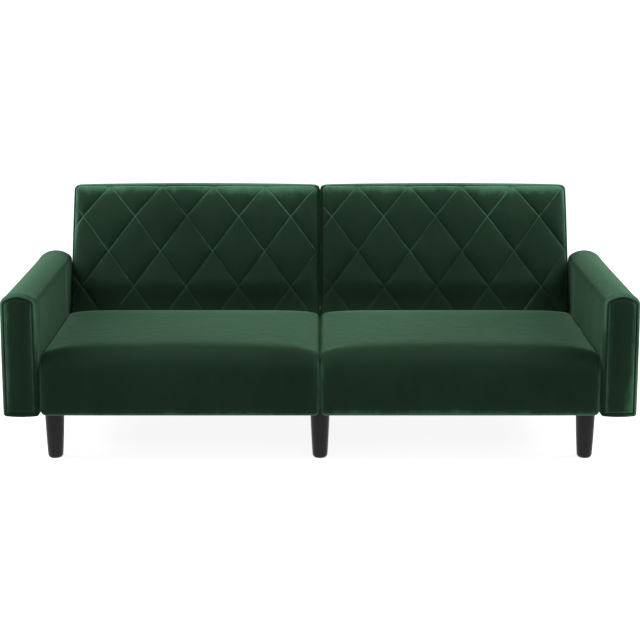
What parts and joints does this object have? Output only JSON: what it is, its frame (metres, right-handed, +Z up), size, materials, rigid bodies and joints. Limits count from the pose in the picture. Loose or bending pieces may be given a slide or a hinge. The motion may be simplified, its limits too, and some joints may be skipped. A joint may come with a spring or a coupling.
{
  "type": "futon sofa bed",
  "caption": "Upholstered sofa bed with fixed padded arms, turned legs, and a split quilted back that reclines flat in two halves.",
  "frame": {"origin": "on the floor, under the middle of the whole sofa's box with the back upright", "axes": "+X to the right as seen from the front, +Y to the rear, +Z up"},
  "size_m": [1.95, 0.8255, 0.758],
  "materials": {
    "velvet": "dark green short-pile velvet",
    "foam": "open-cell upholstery foam, matte",
    "timber": "plain sawn pine, matte",
    "dust_cloth": "black non-woven cloth",
    "webbing": "black elastic webbing",
    "zinc_steel": "zinc-plated, satin",
    "black_steel": "black powder coat, satin",
    "leg_black": "black satin lacquer",
    "glide": "matte black plastic"
  },
  "bodies": {
    "base": {"seat_long_rails_left": "timber", "seat_long_rails_right": "timber", "seat_side_rails_left": "timber", "seat_side_rails_right": "timber", "rear_stretcher_left": "timber", "rear_stretcher_right": "timber", "corner_blocks": "timber", "seat_slats_left": "timber", "seat_slats_right": "timber", "arm_frame_left": "timber", "arm_frame_right": "timber", "seat_foam_left": "foam", "seat_foam_right": "foam", "arm_padding_left": "foam", "arm_padding_right": "foam", "seat_cover_left": "velvet", "seat_cover_right": "velvet", "arm_cover_left": "velvet", "arm_cover_right": "velvet", "arm_front_panel_left": "velvet", "arm_front_panel_right": "velvet", "arm_rear_panel_left": "velvet", "arm_rear_panel_right": "velvet", "arm_piping_left": "velvet", "arm_piping_right": "velvet", "dust_cover": "dust_cloth", "frame_joining_bolts": "zinc_steel", "joining_washers": "zinc_steel", "leg_hanger_bolts": "zinc_steel", "leg_plates": "zinc_steel", "leg_plate_screws": "zinc_steel", "arm_bolts": "zinc_steel", "hinge_base_bolts": "zinc_steel", "pivot_pins": "zinc_steel", "hinge_base_left": "black_steel", "hinge_base_centre": "black_steel", "hinge_base_right": "black_steel", "leg_front_left": "leg_black", "leg_front_middle": "leg_black", "leg_front_right": "leg_black", "leg_rear_left": "leg_black", "leg_rear_middle": "leg_black", "leg_rear_right": "leg_black", "foot_glides": "glide"},
    "back_left": {"back_frame_left": "timber", "back_webbing_left": "webbing", "back_foam_left": "foam", "back_cover_left": "velvet", "hinge_arm_outer_left": "black_steel", "hinge_arm_inner_left": "black_steel", "hinge_arm_screws_left": "zinc_steel", "ratchet_pawl_left": "black_steel"},
    "back_right": {"back_frame_right": "timber", "back_webbing_right": "webbing", "back_foam_right": "foam", "back_cover_right": "velvet", "hinge_arm_outer_right": "black_steel", "hinge_arm_inner_right": "black_steel", "hinge_arm_screws_right": "zinc_steel", "ratchet_pawl_right": "black_steel"}
  },
  "joints": [
    {"name": "back_left_recline", "type": "hinge", "parent": "base", "child": "back_left", "pos_m": [0, 0.20825, 0.31], "axis": [-1, 0, 0], "range_deg": [-12, 71.5]},
    {"name": "back_right_recline", "type": "hinge", "parent": "base", "child": "back_right", "pos_m": [0, 0.20825, 0.31], "axis": [-1, 0, 0], "range_deg": [-12, 71.5]}
  ]
}
